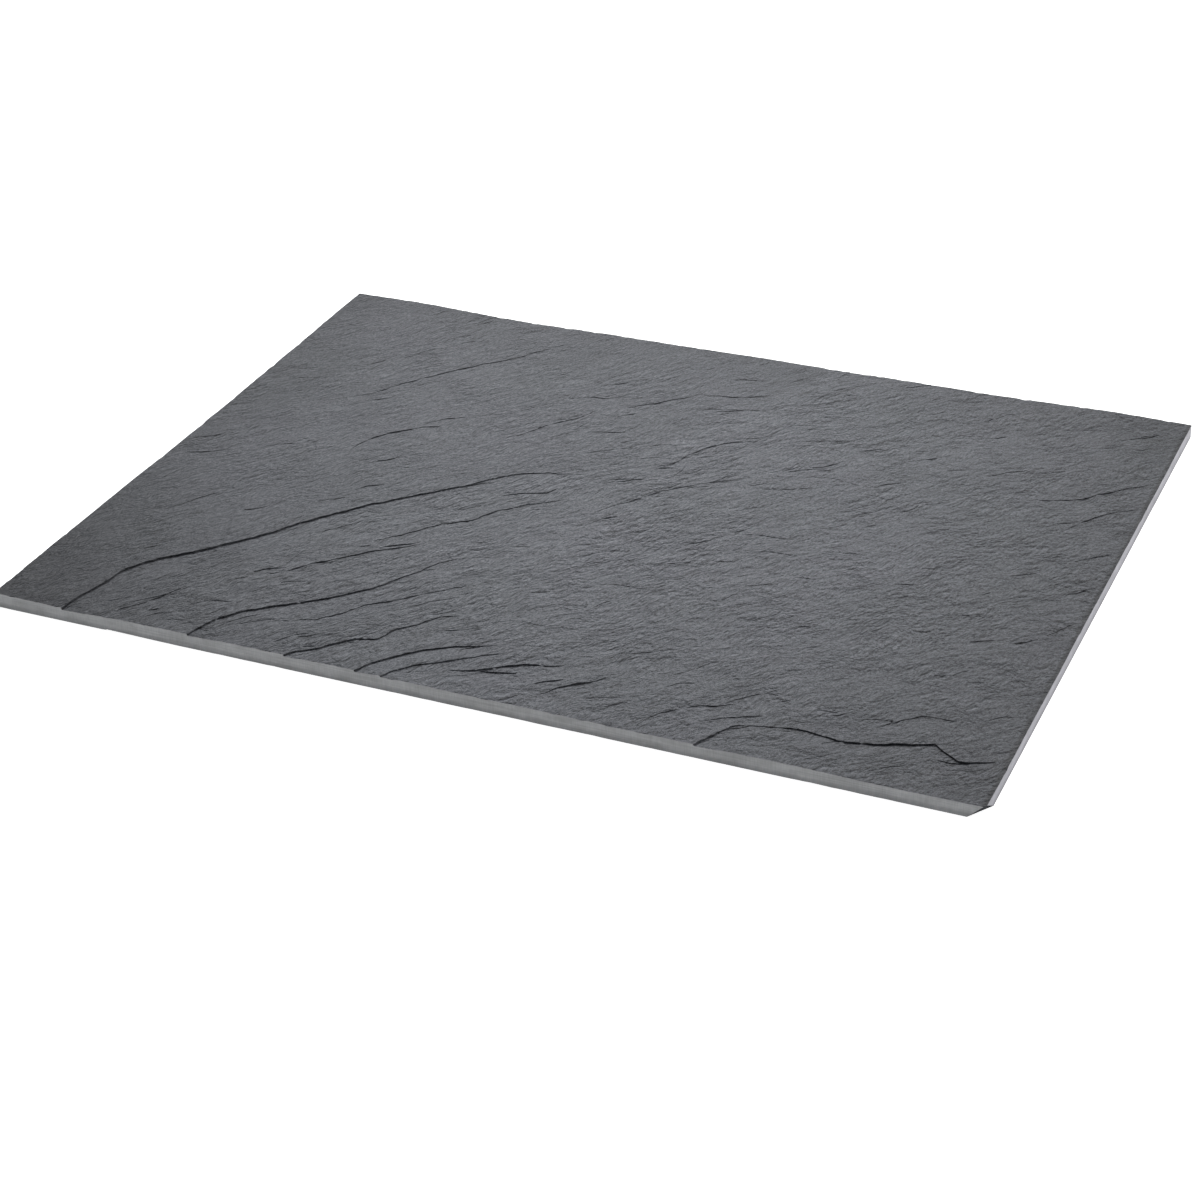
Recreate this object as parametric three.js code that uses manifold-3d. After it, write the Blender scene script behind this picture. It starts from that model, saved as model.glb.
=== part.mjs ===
// Slate serving board: one slab of riven slate, split along its cleavage and sawn to a rectangle.
// Units are millimetres, +Z up. The origin is under the middle of the board, on the surface it
// rests on. +X runs along the long side, +Y away from the front edge.

import * as THREE from 'three';
import { mergeVertices } from 'three/addons/utils/BufferGeometryUtils.js';
import Module from 'manifold-3d';

const wasm = await Module();
wasm.setup();

// Driving dimensions
const LENGTH = 400;
const DEPTH = 300;
const THICK_LEFT = 6.1; // the slab thins from its left side to its right
const THICK_RIGHT = 5.3;
const FACET = 10; // spacing of the facets of the split face
const LEDGE_STEP = 5; // length of one straight stretch of a ledge

// The thin sheets of the slate broke away towards the front right of the board.
const PEEL = new THREE.Vector3(0.77, -0.64, 0).normalize();
const SKIM = 0.04; // a scar runs out this far above the face, so that it ends in a clean line
const CLEARANCE = 3; // what cuts the slab stands out of it by this much

// Where the split face stands high or low: centre, height and radius.
const SWELLS = [
  { x: -180, y: 146, height: 0.9, radius: 42 },
  { x: -98, y: 152, height: -0.6, radius: 30 },
  { x: 168, y: 150, height: 0.7, radius: 40 },
  { x: -200, y: 10, height: -0.5, radius: 60 },
  { x: -66, y: -150, height: 0.5, radius: 45 },
  { x: 86, y: -150, height: 0.3, radius: 16 },
  { x: -30, y: 60, height: 0.2, radius: 60 },
  { x: 30, y: -50, height: -0.2, radius: 45 },
];

// Long low waves of the split face: their height, and how fast they run across and along the
// direction in which the sheets peeled.
const WAVES = [
  { height: 0.1, across: 1 / 13, along: 1 / 47 },
  { height: 0.07, across: 1 / 7.4, along: -1 / 31 },
  { height: 0.05, across: 1 / 60, along: 1 / 17 },
];

// Ledges of the split face, front to back. Each line is the broken edge of a sheet that came away
// on its front right. The drop is the height of the step, and the reach is how far the floor of
// the scar takes to rise back to the face. A sawn ledge runs off the front edge at its full height.
const LEDGES = [
  {
    drop: 0.8, reach: 38, sawn: true,
    line: [[-169, -152], [-165, -131], [-161, -112], [-151, -100], [-141, -90], [-124, -71],
      [-110, -51], [-96, -34], [-80, -20], [-61, 0], [-43, 16], [-22, 20], [2, 29]],
  },
  {
    drop: 0.75, reach: 22, sawn: true,
    line: [[-112, -152], [-109, -139], [-100, -126], [-86, -114], [-70, -102], [-59, -88],
      [-48, -71], [-38, -60]],
  },
  {
    drop: 0.6, reach: 18, sawn: true,
    line: [[-72, -152], [-62, -141], [-54, -133], [-47, -129], [-41, -121], [-33, -112],
      [-28, -103], [-19, -100]],
  },
  {
    drop: 0.8, reach: 20, sawn: true,
    line: [[-41, -152], [-35, -140], [-24, -129], [-12, -121], [1, -115]],
  },
  {
    drop: 0.6, reach: 14, sawn: true,
    line: [[-30, -152], [-24, -140], [-11, -131], [7, -119]],
  },
  {
    drop: 0.6, reach: 20,
    line: [[-9, -138], [4, -131], [16, -123], [31, -119]],
  },
  {
    drop: 0.7, reach: 24, sawn: true,
    line: [[94, -152], [99, -140], [106, -132], [120, -128], [141, -129], [158, -125], [172, -119]],
  },
  {
    drop: 0.6, reach: 16,
    line: [[172, -124], [181, -127], [195, -122]],
  },
  {
    drop: 0.25, reach: 12,
    line: [[82, -131], [93, -124], [101, -114], [112, -108]],
  },
  {
    drop: 0.28, reach: 14,
    line: [[-87, -130], [-70, -121], [-60, -109], [-49, -98], [-38, -87], [-28, -78]],
  },
  {
    drop: 0.35, reach: 14,
    line: [[-108, -101], [-99, -92], [-90, -81], [-75, -67], [-60, -55]],
  },
  {
    drop: 0.35, reach: 16,
    line: [[-81, -62], [-66, -45], [-51, -32], [-46, -22], [-35, -11], [-22, -2]],
  },
  {
    drop: 0.25, reach: 12,
    line: [[-9, -13], [0, 2], [12, 19], [24, 29], [38, 40]],
  },
  {
    drop: 0.3, reach: 14,
    line: [[2, 33], [8, 49], [20, 66], [36, 75]],
  },
  {
    drop: 0.35, reach: 14,
    line: [[-128, 5], [-122, 21], [-112, 32], [-98, 40]],
  },
  {
    drop: 0.28, reach: 14,
    line: [[-152, 51], [-140, 62], [-130, 78], [-110, 99], [-98, 114], [-84, 134]],
  },
  {
    drop: 0.25, reach: 12,
    line: [[-69, 37], [-60, 52], [-45, 70]],
  },
  {
    drop: 0.28, reach: 12,
    line: [[-34, 81], [-18, 95], [0, 107], [22, 116]],
  },
  {
    drop: 0.35, reach: 12,
    line: [[156, 64], [170, 69], [184, 82], [197, 93]],
  },
  {
    drop: 0.3, reach: 10,
    line: [[173, 42], [182, 59], [198, 71]],
  },
];

// Shallow scars of the underside, where sheets came away when the slab was split from its block.
const UNDERSIDE_SCARS = [
  { drop: 0.5, reach: 30, sawn: true, line: [[-150, -152], [-138, -118], [-112, -92], [-84, -80]] },
  { drop: 0.4, reach: 26, line: [[70, -92], [92, -60], [128, -42], [166, -34]] },
  { drop: 0.45, reach: 28, line: [[-166, 30], [-150, 68], [-118, 92], [-76, 100]] },
  { drop: 0.35, reach: 22, line: [[38, 72], [58, 100], [94, 116], [140, 120]] },
];

// The broken corner: three points of the fracture through the lower front right corner, one on
// the bottom of the front edge, one high on the front edge and one on the bottom of the right edge.
const BREAK = [
  new THREE.Vector3(LENGTH / 2 - 8, -DEPTH / 2, 0),
  new THREE.Vector3(LENGTH / 2 - 2.2, -DEPTH / 2, 4.2),
  new THREE.Vector3(LENGTH / 2, -DEPTH / 2 + 13, 0),
];
const BREAK_BLOCK = 30;

// Gentle unevenness of the split face: a slope from left to right, the swells and the waves.
function splitFace(x, y) {
  const slope = THREE.MathUtils.mapLinear(x, -LENGTH / 2, LENGTH / 2, THICK_LEFT, THICK_RIGHT);
  const swells = SWELLS.reduce((sum, swell) => {
    const distance = Math.hypot(x - swell.x, y - swell.y) / swell.radius;
    return sum + swell.height * Math.exp(-distance * distance);
  }, 0);
  const across = x * PEEL.x + y * PEEL.y;
  const along = x * -PEEL.y + y * PEEL.x;
  const waves = WAVES.reduce(
    (sum, wave) => sum + wave.height * Math.sin(across * wave.across + along * wave.along),
    0,
  );
  return slope + swells + waves;
}

// A closed three.js geometry as a solid that can be cut.
function solid(geometry) {
  geometry.deleteAttribute('normal');
  geometry.deleteAttribute('uv');
  const merged = mergeVertices(geometry);
  return new wasm.Manifold(
    new wasm.Mesh({
      numProp: 3,
      vertProperties: merged.attributes.position.array,
      triVerts: new Uint32Array(merged.index.array),
    }),
  );
}

// The solid's surface as a three.js geometry.
function geometryOf(shape) {
  const { vertProperties, triVerts } = shape.getMesh();
  const geometry = new THREE.BufferGeometry();
  geometry.setAttribute('position', new THREE.BufferAttribute(vertProperties, 3));
  geometry.setIndex(new THREE.BufferAttribute(triVerts, 1));
  geometry.computeVertexNormals();
  return geometry;
}

// The slab before its sheets broke away: a sawn rectangle with the uneven split face on top.
function slab() {
  const block = new THREE.BoxGeometry(
    LENGTH, DEPTH, 1, LENGTH / FACET, DEPTH / FACET, 1,
  );
  const position = block.attributes.position;
  for (let i = 0; i < position.count; i++) {
    const isTop = position.getZ(i) > 0;
    position.setZ(i, isTop ? splitFace(position.getX(i), position.getY(i)) : 0);
  }
  return solid(block);
}

// The sheet that broke away at a ledge: a wedge with its steep side along the ledge's line and its
// thin side where the scar runs out. face gives the height of the face that it is taken from.
function sheet({ line, drop, reach, sawn }, face, isTop) {
  const edge = new THREE.CatmullRomCurve3(line.map(([x, y]) => new THREE.Vector3(x, y, 0)));
  const stretches = Math.ceil(edge.getLength() / LEDGE_STEP);
  const wedge = new THREE.BoxGeometry(1, 1, 1, stretches, 1, 1).translate(0.5, 0.5, 0.5);
  const position = wedge.attributes.position;
  for (let i = 0; i < position.count; i++) {
    const along = position.getX(i);
    const isOnLine = position.getY(i) > 0.5;
    const isFloor = position.getZ(i) > 0.5 !== isTop;
    const fade = sawn ? Math.cos((along * Math.PI) / 2) : Math.sin(along * Math.PI);
    const depth = isOnLine ? drop * Math.sqrt(Math.max(fade, 0)) - SKIM : -SKIM;
    const point = edge.getPointAt(along).addScaledVector(PEEL, isOnLine ? 0 : reach);
    const inward = isFloor ? depth : -CLEARANCE;
    position.setXYZ(i, point.x, point.y, face(point.x, point.y) + (isTop ? -inward : inward));
  }
  return solid(wedge);
}

// What broke off the corner: a block whose one face lies on the fracture.
function brokenCorner() {
  const fracture = new THREE.Plane().setFromCoplanarPoints(...BREAK);
  if (fracture.distanceToPoint(new THREE.Vector3()) > 0) fracture.negate();
  const turn = new THREE.Quaternion().setFromUnitVectors(new THREE.Vector3(0, 0, 1), fracture.normal);
  const block = new THREE.BoxGeometry(BREAK_BLOCK, BREAK_BLOCK, BREAK_BLOCK)
    .translate(0, 0, BREAK_BLOCK / 2)
    .applyQuaternion(turn)
    .translate(BREAK[1].x, BREAK[1].y, BREAK[1].z);
  return solid(block);
}

function slateBoard() {
  let board = slab();
  for (const ledge of LEDGES) board = board.subtract(sheet(ledge, splitFace, true));
  for (const scar of UNDERSIDE_SCARS) board = board.subtract(sheet(scar, () => 0, false));
  board = board.subtract(brokenCorner());
  const slate = new THREE.MeshStandardMaterial({ color: 0x6a6c70, roughness: 0.72, metalness: 0 });
  const mesh = new THREE.Mesh(geometryOf(board), slate);
  mesh.name = 'slate_board';
  return mesh;
}

const part = new THREE.Group();
part.add(slateBoard());

export default part;
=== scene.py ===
import math

import bmesh
import bpy
import numpy as np
from mathutils import Matrix, Vector, noise


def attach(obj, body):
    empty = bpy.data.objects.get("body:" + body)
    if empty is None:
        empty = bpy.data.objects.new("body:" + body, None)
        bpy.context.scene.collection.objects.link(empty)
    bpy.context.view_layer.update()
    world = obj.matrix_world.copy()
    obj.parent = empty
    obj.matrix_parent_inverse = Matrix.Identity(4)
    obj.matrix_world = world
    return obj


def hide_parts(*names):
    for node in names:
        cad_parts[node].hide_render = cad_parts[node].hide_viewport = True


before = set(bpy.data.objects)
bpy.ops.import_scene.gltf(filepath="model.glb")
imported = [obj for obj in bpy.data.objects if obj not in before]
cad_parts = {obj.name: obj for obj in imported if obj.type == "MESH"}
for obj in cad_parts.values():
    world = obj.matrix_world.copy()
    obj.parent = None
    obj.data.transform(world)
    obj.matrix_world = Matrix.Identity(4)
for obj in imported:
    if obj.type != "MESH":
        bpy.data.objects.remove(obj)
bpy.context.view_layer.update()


# Camera
# The photograph was taken from the front right, 31 degrees above the table, with a long lens.
EYE = Vector((0.3905, -0.8570, 0.5185))
HEADING, DOWN, ROLL = math.radians(25.018), math.radians(30.597), math.radians(-2.259)

camera_data = bpy.data.cameras.new("camera")
camera_data.sensor_width = 36
camera_data.lens = 79.08
camera_data.clip_start = 0.05
camera = bpy.data.objects.new("camera", camera_data)
camera.matrix_world = (
    Matrix.Translation(EYE)
    @ Matrix.Rotation(HEADING, 4, "Z")
    @ Matrix.Rotation(math.pi / 2 - DOWN, 4, "X")
    @ Matrix.Rotation(ROLL, 4, "Z")
)
bpy.context.scene.collection.objects.link(camera)
bpy.context.scene.camera = camera


# Light
# A large softbox stands high behind the board on the left, so the broken edges that face the
# camera stay dark. A lower one behind on the right lights the right side.
bpy.context.scene.view_settings.view_transform = "Standard"


def linear(code):
    """The linear colour of an sRGB hex code."""
    parts = [int(code[i:i + 2], 16) / 255 for i in (1, 3, 5)]
    return [p / 12.92 if p <= 0.04045 else ((p + 0.055) / 1.055) ** 2.4 for p in parts] + [1.0]


def softbox(name, place, aim, size, power):
    data = bpy.data.lights.new(name, "AREA")
    data.shape = "RECTANGLE"
    data.size, data.size_y = size
    data.energy = power
    lamp = bpy.data.objects.new(name, data)
    lamp.location = place
    lamp.rotation_euler = (Vector(aim) - Vector(place)).to_track_quat("-Z", "Y").to_euler()
    bpy.context.scene.collection.objects.link(lamp)


softbox("softbox_key", (-0.5, 1.2, 1.2), (0, 0, 0), (0.8, 0.7), 36)
softbox("softbox_right", (1.5, 1.2, 0.6), (0.1, 0, 0), (1.0, 0.8), 26)

world = bpy.data.worlds.new("studio")
bpy.context.scene.world = world
world.use_nodes = True
world.node_tree.nodes["Background"].inputs["Color"].default_value = linear("#f4f6fa")
world.node_tree.nodes["Background"].inputs["Strength"].default_value = 0.27


# Floor
# A plain white sweep: a smooth coated board, large enough to fill every view, lit from beneath so
# that it stays white around the board.
def add(tree, kind, settings=None, **links):
    """Adds a node. A setting is an attribute or an input's value; a link feeds an input, which is
    named with _ for a space, or numbered, as in_0."""
    node = tree.nodes.new(kind)
    for key, value in (settings or {}).items():
        if isinstance(key, str) and hasattr(node, key):
            setattr(node, key, value)
        else:
            node.inputs[key].default_value = value
    for key, source in links.items():
        name = int(key[3:]) if key.startswith("in_") else key.replace("_", " ")
        tree.links.new(source, node.inputs[name])
    return node


def blank_material(name):
    material = bpy.data.materials.new(name)
    material.use_nodes = True
    tree = material.node_tree
    tree.nodes.clear()
    return material, tree


FLOOR_HALF = 30.0   # half its width in metres
FLOOR_GAP = 0.0002  # metres that keep it clear of the underside
floor_mesh = bpy.data.meshes.new("floor")
bm = bmesh.new()
bmesh.ops.create_grid(bm, x_segments=4, y_segments=4, size=FLOOR_HALF)
bm.to_mesh(floor_mesh)
bm.free()
floor = bpy.data.objects.new("floor", floor_mesh)
floor.location.z = -FLOOR_GAP
bpy.context.scene.collection.objects.link(floor)
sweep, tree = blank_material("white sweep")
shader = add(tree, "ShaderNodeBsdfPrincipled", {
    "Base Color": linear("#dcdcdc"), "Roughness": 0.9, "Specular IOR Level": 0.1,
    "Emission Color": linear("#ffffff"), "Emission Strength": 0.9,
})
add(tree, "ShaderNodeOutputMaterial", Surface=shader.outputs["BSDF"])
floor_mesh.materials.append(sweep)


# Riven slate board
# One slab of blue-grey slate, split along its cleavage and sawn to a rectangle. Thin sheets broke
# away towards the front right and left curved ledges; one lower corner is broken off. All lengths
# are in millimetres until the mesh is finished.
LENGTH, DEPTH = 400, 300
THICK_LEFT, THICK_RIGHT = 6.1, 5.3
PEEL = Vector((0.77, -0.64)).normalized()  # the direction in which the sheets broke away
RISER = 0.2      # width in plan of a ledge's broken edge
STRIDE = 1.5     # spacing of the ragged points of a ledge's line
HOLD = 0.4       # a low power keeps a ledge near its full height until close to its ends
LOW_LEDGE = 0.5  # ledges lower than this are worn unevenly
CELL_ALONG, CELL_ACROSS = 4.0, 2.0  # facets of the underside; the face above has half of each
LEDGE_SEED, UNDER_SEED, SLIVER_SEED = 0, 100, 200  # each scar adds its number to its seed

# Where the split face stands high or low: centre, height and radius.
SWELLS = [
    (-180, 146, 0.9, 42), (-98, 152, -0.6, 30), (168, 150, 0.7, 40), (-200, 10, -0.5, 60),
    (-66, -150, 0.5, 45), (86, -150, 0.3, 16), (-30, 60, 0.2, 60), (30, -50, -0.2, 45),
]
# Long low waves: height, and how fast they run across and along the direction of peeling.
WAVES = [(0.1, 1 / 13, 1 / 47), (0.07, 1 / 7.4, -1 / 31), (0.05, 1 / 60, 1 / 17)]

# Ledges of the face: drop, reach of the scar, whether the front edge was sawn through it, line.
LEDGES = [
    (1.0, 30, True, [(-169, -153), (-167.5, -141.5), (-164.5, -130), (-162, -115), (-158, -108),
                     (-151, -100), (-143.5, -93.5), (-135, -83.5), (-124, -71), (-115.5, -58),
                     (-105, -45), (-96, -34.5), (-85, -24), (-75, -14.5), (-66, -6), (-57, 5),
                     (-47, 13), (-36, 17), (-24, 20)]),
    (0.85, 20, True, [(-112.5, -153), (-110.5, -144), (-107.5, -135.5), (-100, -126), (-90, -118),
                      (-81, -111), (-73, -104.5), (-66, -97), (-61, -91), (-53, -78), (-47, -67),
                      (-41, -61)]),
    (0.75, 16, True, [(-72.5, -153), (-68, -147), (-61.5, -141), (-54, -133.5), (-50.5, -129.5),
                     (-43, -127), (-40, -119), (-33, -112), (-28.5, -103.5), (-20, -100.5)]),
    (0.85, 9, True, [(-42, -153), (-38, -145), (-32, -136.5), (-24.5, -129), (-19, -124.5),
                     (-9, -119.5), (1, -115)]),
    (0.6, 14, True, [(-31, -153), (-27, -145), (-21, -138.5), (-12, -132), (-5, -127),
                     (-2, -123.5), (7, -119)]),
    (0.7, 12, False, [(-8, -137), (1, -133.5), (9, -127.5), (16, -123), (25, -121), (31, -119)]),
    (0.63, 12, False, [(0, -133), (10, -131), (17, -129)]),
    (0.56, 12, False, [(24, -134), (29, -131), (34, -127)]),
    (0.56, 12, False, [(30, -140), (34, -133), (40, -128), (49, -120)]),
    (0.85, 14, True, [(92.5, -153), (96, -146), (99.5, -140), (102, -134), (107, -131.5)]),
    (0.35, 10, False, [(101, -136), (109, -131), (118, -129), (126, -127)]),
    (0.8, 20, False, [(119, -128.8), (124, -127.4), (131, -128), (141, -129.5), (152, -127.5),
                      (162, -123), (172.5, -119.3), (179.5, -125.2), (184, -126.5),
                      (189, -124.5), (196, -121.5)]),
    (0.45, 8, False, [(175.5, -128), (181, -127.6), (187, -125.5)]),
    (0.42, 8, False, [(91, -135), (98, -130), (105, -126), (110, -124)]),
    (0.35, 12, False, [(82, -131), (85, -126.5), (92, -124), (98, -120)]),
    (0.35, 10, False, [(95, -121), (101, -114), (105, -110), (111, -109)]),
    (0.28, 8, False, [(69, -120), (75, -114), (81, -112)]),
    (0.35, 8, False, [(71, -149), (72, -140), (75, -136.5), (81, -130.5)]),
    (0.42, 10, False, [(150, -117), (155, -111), (163, -104), (176, -103)]),
    (0.49, 14, False, [(-114, -100), (-109, -95), (-101, -91.5)]),
    (0.49, 14, False, [(-107, -99), (-99.5, -92.5), (-93, -84.5), (-86, -78), (-75, -67),
                       (-60, -55)]),
    (0.42, 10, False, [(-149, -144), (-141, -136), (-136, -127), (-131, -118)]),
    (0.35, 8, False, [(-79, -144), (-73.5, -136), (-69, -132)]),
    (0.42, 14, False, [(-87, -129.5), (-80, -126.5), (-71, -122), (-64, -114), (-59, -106),
                      (-49, -98), (-43, -91.5), (-38, -87.5), (-28, -78)]),
    (0.42, 10, False, [(-76, -66), (-70, -60), (-61, -55)]),
    (0.49, 16, False, [(-81, -62), (-71, -52), (-62, -40), (-51, -31.5), (-46, -22), (-35, -11),
                       (-22, -2)]),
    (0.42, 10, False, [(-50, -8.5), (-40, -2.5), (-32, 0.5), (-29, 7.5)]),
    (0.35, 12, False, [(-8, -10), (-2, 0), (4, 6), (12, 19), (24, 29), (38, 40)]),
    (0.28, 8, False, [(-6, -19), (-1, -10.5), (8, -4.5)]),
    (0.31, 8, False, [(5, 17), (12, 20.5), (18, 29)]),
    (0.42, 14, False, [(2, 34), (7, 42), (11, 53), (15, 61), (22, 68.5), (36, 75)]),
    (0.49, 14, False, [(-128, 5), (-126, 12), (-122.5, 20.5), (-117, 27.5), (-109, 35),
                       (-100, 39)]),
    (0.35, 8, False, [(-113, -1), (-106.5, 4.5), (-103, 10)]),
    (0.35, 8, False, [(-108, -25), (-104, -20), (-98, -16)]),
    (0.35, 12, False, [(-67, 39), (-60, 52), (-54, 60), (-46, 69)]),
    (0.39, 14, False, [(-151, 52), (-143, 58), (-138, 66.5), (-130, 78), (-116, 95), (-107, 104.5),
                       (-98, 114), (-84, 134)]),
    (0.39, 12, False, [(-34, 81), (-28, 86), (-18, 95), (-9, 103)]),
    (0.31, 9, False, [(-9, 104), (2, 108), (12, 110), (22, 116)]),
    (0.28, 9, False, [(-170, -63), (-164, -52), (-159, -46)]),
    (0.35, 9, False, [(-194, -20), (-184, -16), (-178, -12)]),
    (0.35, 9, False, [(-197, -7), (-186, 1)]),
    (0.49, 12, False, [(156, 64), (163, 66), (172, 70), (178, 77), (185.5, 84), (197, 93)]),
    (0.42, 10, False, [(173, 42), (177, 50), (183, 60), (192, 67.5), (198, 71)]),
    (0.42, 9, False, [(183, 20), (190, 27), (197, 32)]),
    (0.35, 8, False, [(187, -6), (191, -2), (198, 6)]),
    (0.39, 8, False, [(189, -37), (194.5, -26), (198.5, -22)]),
    (0.35, 8, False, [(163, -51), (168, -47.5), (173, -46)]),
    (0.31, 8, False, [(177, -47), (183, -43), (187, -40)]),
    (0.35, 8, False, [(163, -78), (166, -72.5), (170, -69)]),
    (0.31, 8, False, [(103, 81), (108, 85), (114, 90)]),
    (0.31, 8, False, [(91, 50), (95, 55), (104, 61)]),
    (0.35, 8, False, [(175, 125), (186, 133), (194, 140)]),
    (0.31, 8, False, [(132, 76), (140, 83), (148, 88)]),
    (0.28, 6, False, [(125, 110), (130, 114)]),
]
# Shallow scars of the underside, from splitting the slab off its block.
UNDER_SCARS = [
    (0.5, 30, True, [(-150, -153), (-138, -118), (-112, -92), (-84, -80)]),
    (0.4, 26, False, [(70, -92), (92, -60), (128, -42), (166, -34)]),
    (0.45, 28, False, [(-166, 30), (-150, 68), (-118, 92), (-76, 100)]),
    (0.35, 22, False, [(38, 72), (58, 100), (94, 116), (140, 120)]),
]
# Three points of the fracture through the lower front right corner.
BREAK = [
    Vector((LENGTH / 2 - 6.5, -DEPTH / 2, 0)),
    Vector((LENGTH / 2 - 2.2, -DEPTH / 2, 4.2)),
    Vector((LENGTH / 2, -DEPTH / 2 + 9.5, 0)),
]


def across_along(x, y):
    """Distances along the direction of peeling and square to it."""
    return x * PEEL.x + y * PEEL.y, x * -PEEL.y + y * PEEL.x


def ragged_line(line, seed):
    """The ledge's line in across and along distances, at even steps, worn ragged."""
    corners = np.array([across_along(x, y) for x, y in line])
    span = corners[-1, 1] - corners[0, 1]
    along = np.linspace(corners[0, 1], corners[-1, 1], max(3, round(span / STRIDE)))
    across = np.interp(along, corners[:, 1], corners[:, 0])
    # Bays about 5 mm long, with nicks of 2 mm in them.
    for i, position in enumerate(along):
        across[i] += 0.7 * noise.noise(Vector((position / 5.3, seed * 7.3, 0)))
        across[i] += 0.55 * noise.noise(Vector((position / 1.9, seed * 3.1, 5)))
    return across, along


def scar_depths(across, along, scars, seed):
    """How deep the scars are at each point."""
    total = np.zeros_like(across)
    for number, (drop, reach, sawn, line) in enumerate(scars):
        edge, stations = ragged_line(line, seed + number)
        part = (along - stations[0]) / (stations[-1] - stations[0])
        inside = (part >= 0) & (part <= 1)
        part = np.clip(part, 0, 1)
        fade = np.cos(part * math.pi / 2) if sawn else np.sin(part * math.pi)
        fade = np.maximum(fade, 0) ** HOLD
        past = across - np.interp(along, stations, edge)
        rise = np.clip(past / RISER, 0, 1)
        run_out = np.clip(1 - (past - RISER) / reach, 0, 1)
        wear = 1.2 if drop < LOW_LEDGE else 0.2
        worn = [0.85 + wear * noise.noise(Vector((s / 5, seed + number, 9))) for s in stations]
        worn = np.clip(worn, 0.25, 1.4)
        total += drop * fade * rise * run_out * inside * np.interp(along, stations, worn)
    return total


# Slivers: short layers that broke out all over the face, along the bend of the cleavage. The old
# face to the left of the first ledge kept most of its layers.
STEEP, FLAT = 1.25, 0.5  # slope of the grain at the left and the right end of the board
SLIVERS = 330
SLIVER_STRETCH = 3       # length of one straight stretch of a sliver
KEPT_ON_OLD = 0.15       # share of the slivers on the old face that are kept
chance = np.random.default_rng(11)
first_edge, first_stations = ragged_line(LEDGES[0][3], LEDGE_SEED)
slivers = []
while len(slivers) < SLIVERS:
    x, y = chance.uniform(-199, 190), chance.uniform(-149, 147)
    length = chance.uniform(5, 13) if x > 90 else chance.uniform(7, 26)
    drop, reach = chance.uniform(0.08, 0.3), chance.uniform(2, 6)
    across, along = across_along(x, y)
    left_of_first = across < np.interp(along, first_stations, first_edge)
    on_old_face = along < first_stations[-1] and left_of_first
    if on_old_face and chance.uniform() > KEPT_ON_OLD:
        continue
    line = [(x, y)]
    turn = chance.uniform(-0.25, 0.25)
    for _ in range(round(length / SLIVER_STRETCH)):
        heading = math.atan(STEEP + (FLAT - STEEP) * (x / LENGTH + 0.5)) + turn
        turn += chance.uniform(-0.3, 0.3)
        x += SLIVER_STRETCH * math.cos(heading)
        y += SLIVER_STRETCH * math.sin(heading)
        line.append((x, y))
    slivers.append((drop, reach, False, line))


# The sheet of facets: a grid laid along the ledges, trimmed to the sawn rectangle.
GRID_HALF = 260  # half the grid's width before it is trimmed
SNAP = 1e-4      # a point this near to a cut counts as on it
bm = bmesh.new()
bmesh.ops.create_grid(
    bm,
    x_segments=int(2 * GRID_HALF / CELL_ACROSS),
    y_segments=int(2 * GRID_HALF / CELL_ALONG),
    size=GRID_HALF,
    matrix=Matrix.Rotation(math.atan2(PEEL.y, PEEL.x), 4, "Z"),
)
for place, outward in [
    ((LENGTH / 2, 0, 0), (1, 0, 0)), ((-LENGTH / 2, 0, 0), (-1, 0, 0)),
    ((0, DEPTH / 2, 0), (0, 1, 0)), ((0, -DEPTH / 2, 0), (0, -1, 0)),
]:
    bmesh.ops.bisect_plane(
        bm, geom=bm.verts[:] + bm.edges[:] + bm.faces[:], dist=SNAP,
        plane_co=place, plane_no=outward, clear_outer=True,
    )

# The sheet is raised to a slab; the raised copy is the face and its facets are halved.
MID_HEIGHT = 1  # tells the face from the underside while both are flat
under_faces = bm.faces[:]
raised = bmesh.ops.extrude_face_region(bm, geom=under_faces, use_keep_orig=True)["geom"]
top_verts = {g for g in raised if isinstance(g, bmesh.types.BMVert)}
bmesh.ops.translate(bm, verts=list(top_verts), vec=(0, 0, THICK_RIGHT))
bmesh.ops.reverse_faces(bm, faces=under_faces)
top_edges = [e for e in bm.edges if e.verts[0] in top_verts and e.verts[1] in top_verts]
bmesh.ops.subdivide_edges(bm, edges=top_edges, cuts=1, use_grid_fill=True)

# The ledge at the front right bends sharply, so the facets are finer there.
BEND_AT, BEND_REACH = Vector((176, -122.5)), 8
bend_edges = [
    e for e in bm.edges
    if min(v.co.z for v in e.verts) > MID_HEIGHT
    and ((e.verts[0].co.xy + e.verts[1].co.xy) / 2 - BEND_AT).length < BEND_REACH
]
bmesh.ops.subdivide_edges(bm, edges=bend_edges, cuts=2, use_grid_fill=True)

CREASE_SEARCH = 4    # edges this near to a ledge's line are looked at
CREASE_TOUCH = 0.03  # a point this near to the line is on it


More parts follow.
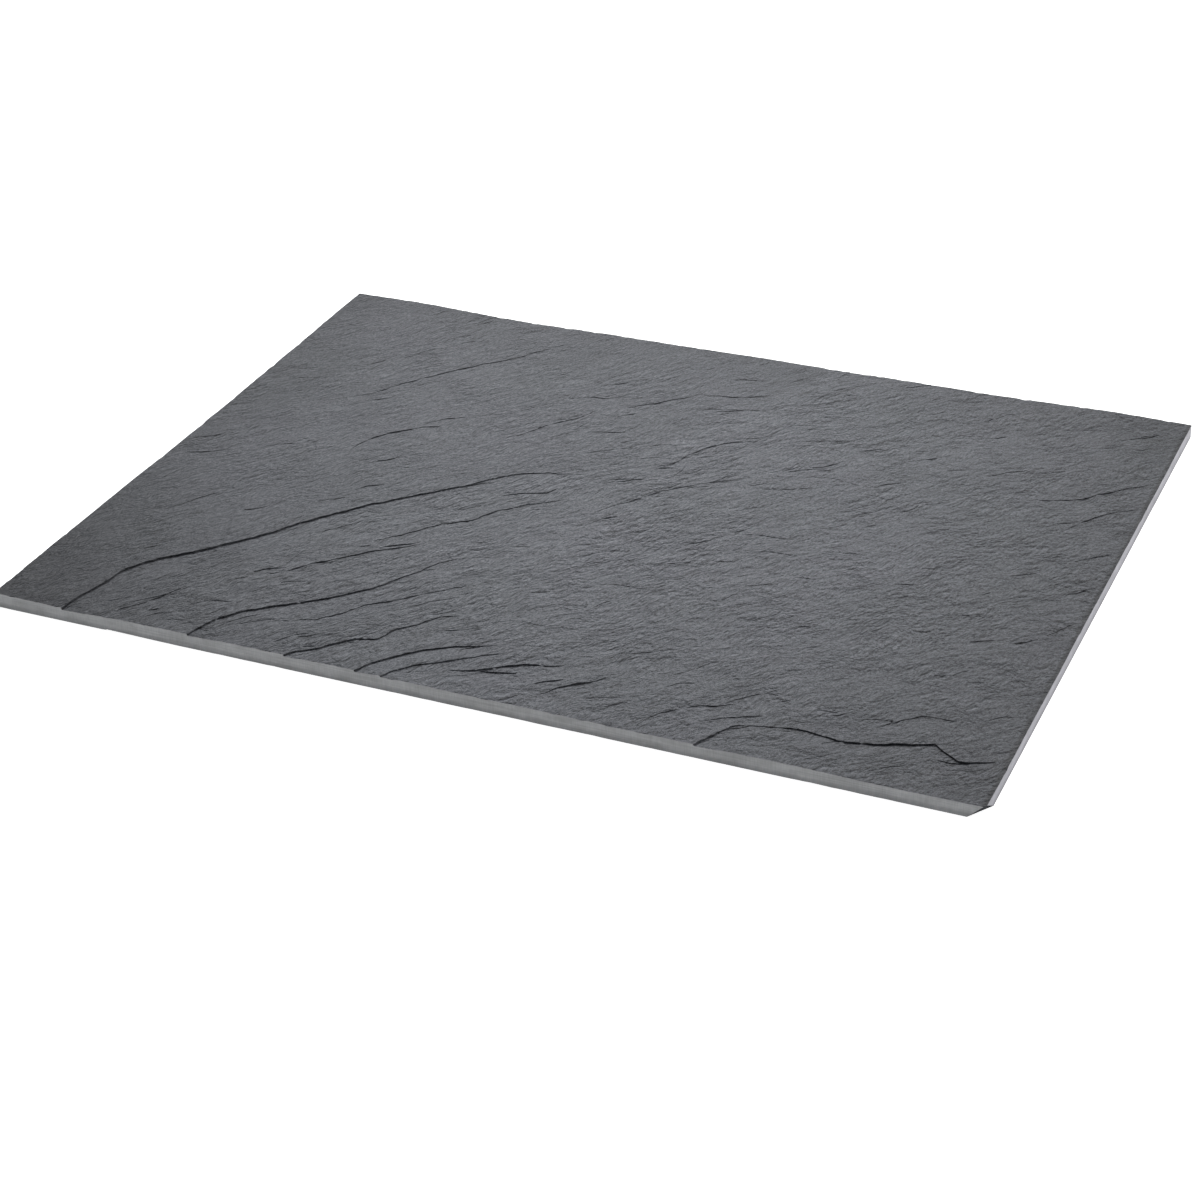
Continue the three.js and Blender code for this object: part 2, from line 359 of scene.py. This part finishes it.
def cut_creases(faces, scars, seed):
    """Cuts the facets along the lip and the foot of every scar, so that its edge is crisp."""
    edges = list(dict.fromkeys(edge for face in faces for edge in face.edges))
    middles = [(e.verts[0].co.xy + e.verts[1].co.xy) / 2 for e in edges]
    edges_added, middles_added = [], []
    across, along = across_along(*np.array(middles).T)
    for number, (_, _, _, line) in enumerate(scars):
        edge_line, stations = ragged_line(line, seed + number)

        def near(across, along):
            past = np.abs(across - np.interp(along, stations, edge_line))
            within = (along > stations[0]) & (along < stations[-1])
            return np.flatnonzero((past < CREASE_SEARCH) & within)

        picked = [edges[i] for i in near(across, along)]
        if edges_added:
            picked += [edges_added[i] for i in near(*across_along(*np.array(middles_added).T))]
        for shift in (0, RISER):

            def past(vert):
                across, along = across_along(vert.co.x, vert.co.y)
                return across - np.interp(along, stations, edge_line) - shift

            on_line = {}  # a dict, so that every run cuts the facets in the same order
            for edge in picked[:]:
                first, second = edge.verts
                past_first, past_second = past(first), past(second)
                if abs(past_first) < CREASE_TOUCH:
                    on_line[first] = True
                elif abs(past_second) < CREASE_TOUCH:
                    on_line[second] = True
                elif past_first * past_second < 0:
                    part = past_first / (past_first - past_second)
                    half, vert = bmesh.utils.edge_split(edge, first, part)
                    on_line[vert] = True
                    picked.append(half)
                    edges_added.append(half)
                    middles_added.append((half.verts[0].co.xy + half.verts[1].co.xy) / 2)
            for face in dict.fromkeys(f for v in on_line for f in v.link_faces):
                hits = [v for v in face.verts if v in on_line]
                apart = len(hits) == 2 and not any(
                    hits[0] in e.verts and hits[1] in e.verts for e in face.edges
                )
                if apart:
                    bmesh.utils.face_split(face, hits[0], hits[1])


for scars, seed in ((LEDGES, LEDGE_SEED), (slivers, SLIVER_SEED)):
    top_faces = [f for f in bm.faces if all(v.co.z > MID_HEIGHT for v in f.verts)]
    cut_creases(top_faces, scars, seed)
cut_creases(under_faces, UNDER_SCARS, UNDER_SEED)

# Sides get the sawn stone, the face and the underside the riven stone. The numbers are the places
# of the three materials on the board.
RIVEN_FACE, SAWN_SIDE, BROKEN_CORNER = 0, 1, 2
bm.normal_update()
for face in bm.faces:
    is_level = abs(face.normal.z) > 0.5
    face.material_index = RIVEN_FACE if is_level else SAWN_SIDE
    face.smooth = is_level

# Heights of the face and the underside. The saw left small chips along the upper arrises.
RIPPLES = [(0.13, 5, 19, 3), (0.08, 2.2, 7, 11), (0.14, 24, 60, 23)]  # height, width, length, seed
CHIPPED = 1.2  # width of the strip that is chipped
points = np.array([v.co for v in bm.verts])
is_top = points[:, 2] > MID_HEIGHT
across, along = across_along(points[:, 0], points[:, 1])
height = THICK_LEFT + (THICK_RIGHT - THICK_LEFT) * (points[:, 0] / LENGTH + 0.5)
for x, y, rise, radius in SWELLS:
    height += rise * np.exp(-((points[:, 0] - x) ** 2 + (points[:, 1] - y) ** 2) / radius ** 2)
for rise, fast_across, fast_along in WAVES:
    height += rise * np.sin(across * fast_across + along * fast_along)
height -= scar_depths(across, along, LEDGES, LEDGE_SEED)
height -= scar_depths(across, along, slivers, SLIVER_SEED)
from_edge = np.minimum(LENGTH / 2 - np.abs(points[:, 0]), DEPTH / 2 - np.abs(points[:, 1]))
under = scar_depths(across, along, UNDER_SCARS, UNDER_SEED)
for i, vert in enumerate(bm.verts):
    a, b = across[i], along[i]
    ripple = 0
    for rise, width, length, seed in RIPPLES:
        ripple += rise * noise.noise(Vector((a / width, b / length, seed)))
    if is_top[i] and from_edge[i] < CHIPPED:
        chip = max(noise.noise(Vector((a / 4.3, b / 4.3, 41))) - 0.1, 0) / 2
        ripple -= (CHIPPED - from_edge[i]) * chip
    if is_top[i]:
        vert.co.z = height[i] + ripple
    else:
        vert.co.z = under[i] + max(ripple, 0)

# The broken corner: cut off on the fracture and closed with one face, which its material makes
# rough. The normal of the cut points away from the board.
break_normal = (BREAK[1] - BREAK[0]).cross(BREAK[2] - BREAK[0])
if break_normal.dot(-BREAK[0]) > 0:
    break_normal = -break_normal
cut = bmesh.ops.bisect_plane(
    bm, geom=bm.verts[:] + bm.edges[:] + bm.faces[:], dist=SNAP,
    plane_co=BREAK[0], plane_no=break_normal, clear_outer=True,
)["geom_cut"]
rim = [g for g in cut if isinstance(g, bmesh.types.BMEdge)]
closed = bmesh.ops.holes_fill(bm, edges=rim, sides=0)["faces"]
for face in closed:
    face.material_index = BROKEN_CORNER
    face.smooth = False

# Sharp folds stay sharp, and facets with more than four corners are split to shade evenly.
SHARP_FOLD = 0.4  # radians
MM_PER_METRE = 1000
for edge in bm.edges:
    if len(edge.link_faces) == 2 and edge.calc_face_angle(0) > SHARP_FOLD:
        edge.smooth = False

many_sided = [f for f in bm.faces if len(f.verts) > 4 and f.material_index == RIVEN_FACE]
bmesh.ops.triangulate(bm, faces=many_sided)
bmesh.ops.scale(bm, vec=[1 / MM_PER_METRE] * 3, verts=bm.verts)
bmesh.ops.recalc_face_normals(bm, faces=bm.faces)
slate_mesh = bpy.data.meshes.new("riven_slate_board")
bm.to_mesh(slate_mesh)
bm.free()

# The grain follows the cleavage: steep at the left end of the board, flatter at the right, and it
# wanders on the way. The pattern of the stone is laid along it, in millimetres.
WANDERS = [(5, 32, 51), (2.2, 10, 61)]  # how far to the side, over what length, seed
ALONG_GRAIN, ACROSS_GRAIN = 1.3, 0.75   # lengths along and across the grain to one in x and y
points = np.empty(len(slate_mesh.vertices) * 3, dtype=np.float32)
slate_mesh.vertices.foreach_get("co", points)
points = points.reshape(-1, 3) * MM_PER_METRE
run = points[:, 0] / LENGTH + 0.5
bend = LENGTH * (STEEP * run + (FLAT - STEEP) * run ** 2 / 2)
for i, (x, y, _) in enumerate(points):
    for wander, length, seed in WANDERS:
        bend[i] += wander * noise.noise(Vector((x / length, y / length, seed)))
grain_values = np.stack(
    [points[:, 0] * ALONG_GRAIN, (points[:, 1] - bend) * ACROSS_GRAIN, points[:, 2]], -1
)
grain = slate_mesh.attributes.new("grain", "FLOAT_VECTOR", "POINT")
grain.data.foreach_set("vector", grain_values.astype(np.float32).ravel())

# The peeled part of the face, right of the first ledge, is told apart from the old one. Beyond the
# ledge's end the border between them leans to the left.
BORDER_FROM, BORDER_LEAN, BORDER_WIDTH = 10, 0.25, 1.5
across, along = across_along(points[:, 0], points[:, 1])
past = across - np.interp(along, first_stations, first_edge)
past += BORDER_LEAN * np.maximum(along - BORDER_FROM, 0)
peeled = slate_mesh.attributes.new("peeled", "FLOAT", "POINT")
peeled.data.foreach_set("value", np.clip(past / BORDER_WIDTH + 0.5, 0, 1).astype(np.float32))

slate = bpy.data.objects.new("riven_slate_board", slate_mesh)
bpy.context.scene.collection.objects.link(slate)


# Riven slate: split along the cleavage, never ground or polished. Its face is a mat of broken
# layers, matt blue-grey, with the faint sheen of mica lying in the cleavage.
riven, tree = blank_material("riven slate")
object_at = add(tree, "ShaderNodeTexCoord").outputs["Object"]
grain_at = add(tree, "ShaderNodeAttribute", {"attribute_name": "grain"}).outputs["Vector"]


def noise_at(tree, where, size, stretch=(1, 1, 1), detail=3, rough=0.55, metres=True):
    """Noise whose lumps are about size millimetres wide, longer along each axis by stretch."""
    unit = MM_PER_METRE if metres else 1
    scaled = add(tree, "ShaderNodeMapping", {
        "Scale": [unit / (size * s) for s in stretch],
    }, Vector=where)
    return add(tree, "ShaderNodeTexNoise", {
        "Scale": 1.0, "Detail": detail, "Roughness": rough,
    }, Vector=scaled.outputs["Vector"]).outputs["Fac"]


def remap(tree, value, low, high, to_low=0.0, to_high=1.0):
    return add(tree, "ShaderNodeMapRange", {
        "From Min": low, "From Max": high, "To Min": to_low, "To Max": to_high,
    }, Value=value).outputs["Result"]


def calc(tree, operation, *values):
    node = add(tree, "ShaderNodeMath", {"operation": operation})
    for socket, value in zip(node.inputs, values):
        if isinstance(value, (int, float)):
            socket.default_value = value
        else:
            tree.links.new(value, socket)
    return node.outputs[0]


def blend(tree, mode, amount, first, second):
    node = add(tree, "ShaderNodeMix", {"data_type": "RGBA", "blend_type": mode})
    for socket, value in ((0, amount), (6, first), (7, second)):
        if isinstance(value, (int, float, list)):
            node.inputs[socket].default_value = value
        else:
            tree.links.new(value, node.inputs[socket])
    return node.outputs[2]


# The layers broke in steps that face the front right. Each step rises slowly and drops sharply, so
# its relief is the fraction left over from counting steps along the grain.
def steps(size, wander):
    """Relief of the steps from 0 to 1: their distance in millimetres and how far they wander."""
    grain_y = add(tree, "ShaderNodeSeparateXYZ", Vector=grain_at).outputs["Y"]
    wavy = noise_at(tree, grain_at, size * 1.3, (1.9, 1, 1), detail=3, metres=False)
    count = calc(tree, "MULTIPLY", grain_y, -1 / size)
    return calc(tree, "FRACT", calc(tree, "ADD", count, calc(tree, "MULTIPLY", wavy, wander)))


coarse_step, fine_step = steps(7, 6.5), steps(2.2, 5)
FALL_OVER = 0.55  # millimetres along and across the grain over which a fall is measured


def flakes(size, stretch):
    """Relief from 0 to 1 of the flakes the layers broke into, and how fast it falls frontwards."""
    heights = []
    for shift in (0, FALL_OVER):
        moved = add(tree, "ShaderNodeVectorMath", {
            "operation": "ADD", 1: (shift, -shift, 0),
        }, in_0=grain_at).outputs["Vector"]
        heights.append(noise_at(tree, moved, size, (stretch, 1, 1), detail=3, metres=False))
    return heights[0], calc(tree, "SUBTRACT", heights[0], heights[1])


large_flake, large_fall = flakes(3.4, 1.7)
small_flake, small_fall = flakes(1.6, 1.3)
patchy = remap(tree, noise_at(tree, grain_at, 11, (2, 1, 1), detail=2, metres=False), 0.36, 0.55)
peeled_at = add(tree, "ShaderNodeAttribute", {"attribute_name": "peeled"}).outputs["Fac"]
loose = calc(tree, "MULTIPLY", patchy, remap(tree, peeled_at, 0, 1, 0.35, 1))

# The colour clouds over in patches a hand wide and in blotches about 15 mm long. Flecks about a
# millimetre across are darker or lighter than the rest.
cloud = noise_at(tree, object_at, 70, detail=2)
blotch = noise_at(tree, grain_at, 6, (2.5, 1, 1), metres=False)
fleck = noise_at(tree, grain_at, 0.8, (1.4, 1, 1), detail=4, rough=0.7, metres=False)
colour = blend(tree, "MIX", remap(tree, cloud, 0.3, 0.7), linear("#4e5156"), linear("#5a5b62"))
colour = blend(tree, "MIX", remap(tree, blotch, 0.35, 0.75), colour, linear("#5e6167"))
colour = blend(tree, "MULTIPLY", remap(tree, fleck, 0.5, 0.3, 0, 0.8), colour, linear("#4a4c50"))
colour = blend(tree, "SCREEN", remap(tree, fleck, 0.55, 0.75, 0, 0.7), colour, linear("#6a6c71"))

# The foot of each step is painted darker, as painted shade and dust, and its lip is painted lighter,
# a painted highlight where it catches the light.
foot = calc(tree, "MULTIPLY", remap(tree, coarse_step, 0.14, 0, 0, 0.7), loose)
colour = blend(tree, "MULTIPLY", foot, colour, linear("#6a6b6e"))
foot = calc(tree, "MULTIPLY", remap(tree, fine_step, 0.2, 0, 0, 0.6), loose)
colour = blend(tree, "MULTIPLY", foot, colour, linear("#808184"))
lip = calc(tree, "MULTIPLY", remap(tree, fine_step, 0.8, 1, 0, 0.6), loose)
colour = blend(tree, "SCREEN", lip, colour, linear("#505257"))

# Where a flake broke off, its front gets a dark stroke of painted shade and its back a light stroke
# of painted highlight, as if lit from behind. Smooth patches lie between the rough ones.
rough = remap(tree, noise_at(tree, object_at, 16, detail=2), 0.38, 0.62, 0.35, 1)
rough = calc(tree, "MULTIPLY", rough, remap(tree, peeled_at, 0, 1, 0.7, 1))
for fall, most in ((large_fall, 0.1), (small_fall, 0.15)):
    dark = calc(tree, "MULTIPLY", remap(tree, fall, most * 0.4, most, 0, 0.8), rough)
    colour = blend(tree, "MULTIPLY", dark, colour, linear("#a0a1a4"))
    light = calc(tree, "MULTIPLY", remap(tree, fall, -most * 0.5, -most, 0, 0.8), rough)
    colour = blend(tree, "SCREEN", light, colour, linear("#404246"))

# The broken edges of the ledges are rough and painted darker, as painted shade; the old face has
# weathered darker.
lean = add(tree, "ShaderNodeTexCoord").outputs["Normal"]
upright = add(tree, "ShaderNodeSeparateXYZ", Vector=lean).outputs["Z"]
steep = remap(tree, calc(tree, "ABSOLUTE", upright), 0.96, 0.7, 0, 0.8)
colour = blend(tree, "MULTIPLY", steep, colour, linear("#98999c"))
colour = blend(tree, "MULTIPLY", remap(tree, peeled_at, 1, 0, 0, 0.42), colour, linear("#d6d7d9"))

# A painted pool of light: the slate is painted palest near the middle of the board and darker
# towards its ends and its front, for the sheen of the softbox on it. The square of the distance from
# there decides, and it grows faster along the board than across it.
middle = add(tree, "ShaderNodeMapping", {
    "Location": (0.198, -0.066, 0), "Scale": (5.2, 3.3, 0),
}, Vector=object_at)
away = add(tree, "ShaderNodeVectorMath", {
    "operation": "DOT_PRODUCT",
}, in_0=middle.outputs["Vector"], in_1=middle.outputs["Vector"]).outputs["Value"]
colour = blend(tree, "MULTIPLY", remap(tree, away, 0, 1.7), colour, linear("#b8b9bb"))

# Its front left corner is painted darker still, as painted shade where the light falls off.
HALF_LENGTH, HALF_DEPTH = LENGTH / 2 / MM_PER_METRE, DEPTH / 2 / MM_PER_METRE
place = add(tree, "ShaderNodeSeparateXYZ", Vector=object_at)
from_left = remap(tree, place.outputs["X"], -HALF_LENGTH, -0.02, 1, 0)
from_front = remap(tree, place.outputs["Y"], -HALF_DEPTH, -0.03, 1, 0)
corner = calc(tree, "MULTIPLY", from_left, from_front)
colour = blend(tree, "MULTIPLY", corner, colour, linear("#b4b5b7"))

# It is a little darker along its back and its left end.
to_back = remap(tree, place.outputs["Y"], HALF_DEPTH - 0.05, HALF_DEPTH - 0.005)
to_left = remap(tree, place.outputs["X"], 0.05 - HALF_LENGTH, 0.005 - HALF_LENGTH)
outer = calc(tree, "MAXIMUM", to_back, to_left)
colour = blend(tree, "MULTIPLY", outer, colour, linear("#eaeaeb"))

# The right end has a dark ragged strip along its upper arris.
ragged = noise_at(tree, object_at, 3, detail=2)
to_end = calc(tree, "SUBTRACT", HALF_LENGTH, place.outputs["X"])
to_end = calc(tree, "ADD", to_end, calc(tree, "MULTIPLY", ragged, 0.002))
arris = remap(tree, to_end, 0.0032, 0.002, 0, 0.9)
colour = blend(tree, "MULTIPLY", arris, colour, linear("#86878a"))

# Relief in millimetres: the steps, the flakes and the pits of the stone. Light flecks are mica, a
# little glossier than the rest.
pitted = noise_at(tree, grain_at, 1.0, (1.3, 1, 1), detail=4, rough=0.65, metres=False)
relief = calc(tree, "MULTIPLY", calc(tree, "MULTIPLY", coarse_step, loose), 0.5)
for part, amount in (
    (calc(tree, "MULTIPLY", fine_step, loose), 0.3),
    (calc(tree, "MULTIPLY", remap(tree, large_flake, 0.36, 0.62), rough), 0.75),
    (calc(tree, "MULTIPLY", remap(tree, small_flake, 0.38, 0.6), rough), 0.4),
    (pitted, 0.8),
):
    relief = calc(tree, "ADD", relief, calc(tree, "MULTIPLY", part, amount))
bump = add(tree, "ShaderNodeBump", {"Strength": 1.0, "Distance": 0.001}, Height=relief)
shader = add(tree, "ShaderNodeBsdfPrincipled", {
    "Specular IOR Level": 0.4,
}, Base_Color=colour, Normal=bump.outputs["Normal"],
    Roughness=remap(tree, fleck, 0.3, 0.75, 0.72, 0.5))
add(tree, "ShaderNodeOutputMaterial", Surface=shader.outputs["BSDF"])

# Sawn slate: the diamond saw bruised the stone pale and left fine upright scratches, and the
# layers of the slate show as faint level lines. Its pale colour is partly its own and partly
# painted light on the sides.
sawn_slate, tree = blank_material("sawn slate")
object_at = add(tree, "ShaderNodeTexCoord").outputs["Object"]
level = noise_at(tree, object_at, 0.5, (60, 60, 1), detail=3)
scratch = noise_at(tree, object_at, 0.35, (1, 1, 14), detail=2)
dust = noise_at(tree, object_at, 9, (1, 1, 0.6), detail=3)
colour = blend(tree, "MIX", remap(tree, dust, 0.3, 0.7), linear("#8d8e8e"), linear("#a1a2a3"))
colour = blend(tree, "MULTIPLY", remap(tree, level, 0.35, 0.65, 0.3, 0), colour, linear("#b0b1b5"))
colour = blend(tree, "MULTIPLY", remap(tree, scratch, 0.35, 0.65, 0.2, 0), colour, linear("#b0b1b5"))

# The lowest 2 mm are painted darker, as painted shade where the sides meet the floor, and the right
# side is a trace bluer.
place = add(tree, "ShaderNodeSeparateXYZ", Vector=object_at)
low = remap(tree, place.outputs["Z"], 0.0008, 0.0025, 0.4, 0)
colour = blend(tree, "MULTIPLY", low, colour, linear("#a2a3a6"))
at_right = remap(tree, place.outputs["X"], HALF_LENGTH - 0.0015, HALF_LENGTH - 0.0002)
colour = blend(tree, "MULTIPLY", at_right, colour, linear("#fbf8ff"))

# The back and the left side are darker than the front and the right, whose paler colour is painted
# light.
at_back = remap(tree, place.outputs["Y"], HALF_DEPTH - 0.001, HALF_DEPTH - 0.0002)
at_left = remap(tree, place.outputs["X"], 0.001 - HALF_LENGTH, 0.0002 - HALF_LENGTH)
darker_back_and_left = calc(tree, "MAXIMUM", at_back, at_left)
colour = blend(tree, "MULTIPLY", darker_back_and_left, colour, linear("#b0b1b4"))
bump = add(tree, "ShaderNodeBump", {
    "Strength": 0.5, "Distance": 0.0001,
}, Height=calc(tree, "ADD", scratch, level))
shader = add(tree, "ShaderNodeBsdfPrincipled", {
    "Roughness": 0.8, "Specular IOR Level": 0.35,
}, Base_Color=colour, Normal=bump.outputs["Normal"])
add(tree, "ShaderNodeOutputMaterial", Surface=shader.outputs["BSDF"])

# Broken slate: a fresh fracture across the layers, stepped and rough, painted very dark as painted
# shade, for it faces down to the floor.
broken_slate, tree = blank_material("broken slate")
object_at = add(tree, "ShaderNodeTexCoord").outputs["Object"]
step = noise_at(tree, object_at, 0.9, (4, 4, 1), detail=4)
colour = blend(tree, "MIX", remap(tree, step, 0.35, 0.65), linear("#1d1f22"), linear("#2b2d30"))
bump = add(tree, "ShaderNodeBump", {"Strength": 1.0, "Distance": 0.0004}, Height=step)
shader = add(tree, "ShaderNodeBsdfPrincipled", {
    "Roughness": 0.95, "Specular IOR Level": 0.05,
}, Base_Color=colour, Normal=bump.outputs["Normal"])
add(tree, "ShaderNodeOutputMaterial", Surface=shader.outputs["BSDF"])

# In the order of RIVEN_FACE, SAWN_SIDE and BROKEN_CORNER.
for material in (riven, sawn_slate, broken_slate):
    slate_mesh.materials.append(material)

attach(slate, "root")
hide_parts("slate_board")
